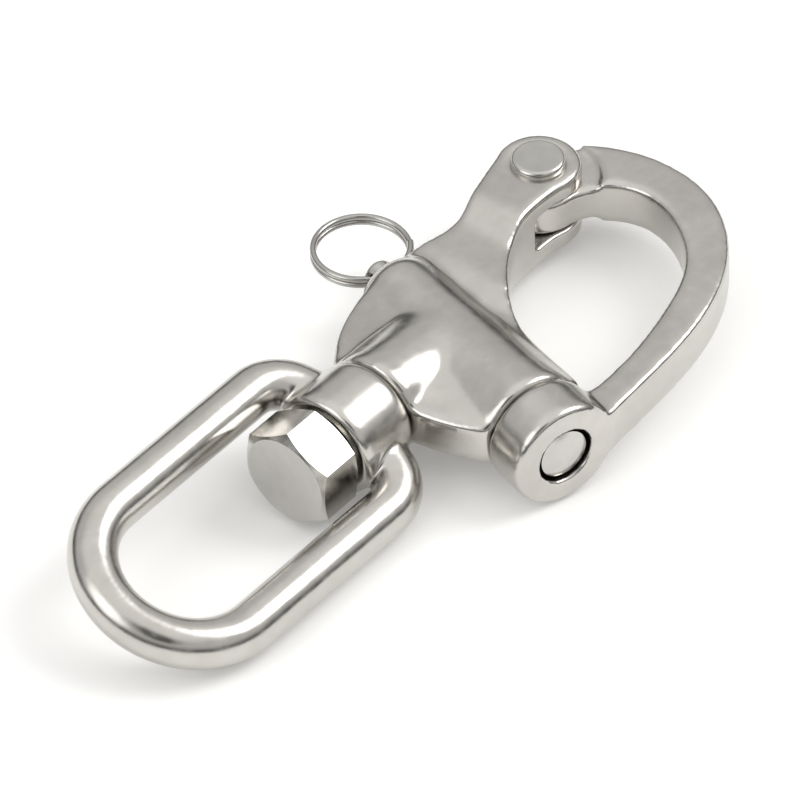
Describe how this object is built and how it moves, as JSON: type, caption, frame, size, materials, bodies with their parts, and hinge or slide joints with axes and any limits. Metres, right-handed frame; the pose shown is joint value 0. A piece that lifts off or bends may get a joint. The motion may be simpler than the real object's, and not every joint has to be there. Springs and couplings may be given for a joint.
{
  "type": "swivel eye snap shackle",
  "caption": "Swivel-eye snap shackle: a turning eye on a bolt, a cast body, and a hinged bail latched by a spring plunger with a pull ring.",
  "frame": {"origin": "centre of the eye's round end, on the swivel axis", "axes": "+X along the swivel axis from the eye to the bail, +Y towards the hinge and ring side, +Z along the hinge rivet; the shackle lies on its side with -Z down"},
  "size_m": [0.1286, 0.0633, 0.0176],
  "materials": {
    "polished_cast": "mirror-polished cast stainless steel",
    "turned_steel": "polished turned stainless steel",
    "spring_wire": "bright drawn stainless wire"
  },
  "bodies": {
    "frame": {"body": "polished_cast", "swivel_bolt": "turned_steel", "hinge_rivet": "turned_steel", "plunger_spring": "spring_wire"},
    "eye": {"swivel_eye": "polished_cast"},
    "bail": {"bail": "polished_cast"},
    "plunger": {"plunger": "turned_steel"},
    "ring": {"pull_ring": "spring_wire"}
  },
  "joints": [
    {"name": "eye_swivel", "type": "hinge", "parent": "frame", "child": "eye", "pos_m": [0, 0, 0], "axis": [1, 0, 0], "continuous": true},
    {"name": "bail_hinge", "type": "hinge", "parent": "frame", "child": "bail", "pos_m": [0.0965, 0.0102, 0], "axis": [0, 0, 1], "range_deg": [0, 145]},
    {"name": "plunger_slide", "type": "slide", "parent": "frame", "child": "plunger", "axis": [0.284, 0.9588, 0], "range_m": [0, 0.0085], "stiffness_N_per_m": 1200, "springref_m": -0.008, "deforming": ["plunger_spring"]},
    {"name": "ring_swing", "type": "hinge", "parent": "plunger", "child": "ring", "pos_m": [0.06704, 0.01668, 0], "axis": [0.9588, -0.284, 0], "range_deg": [-60, 50]}
  ]
}
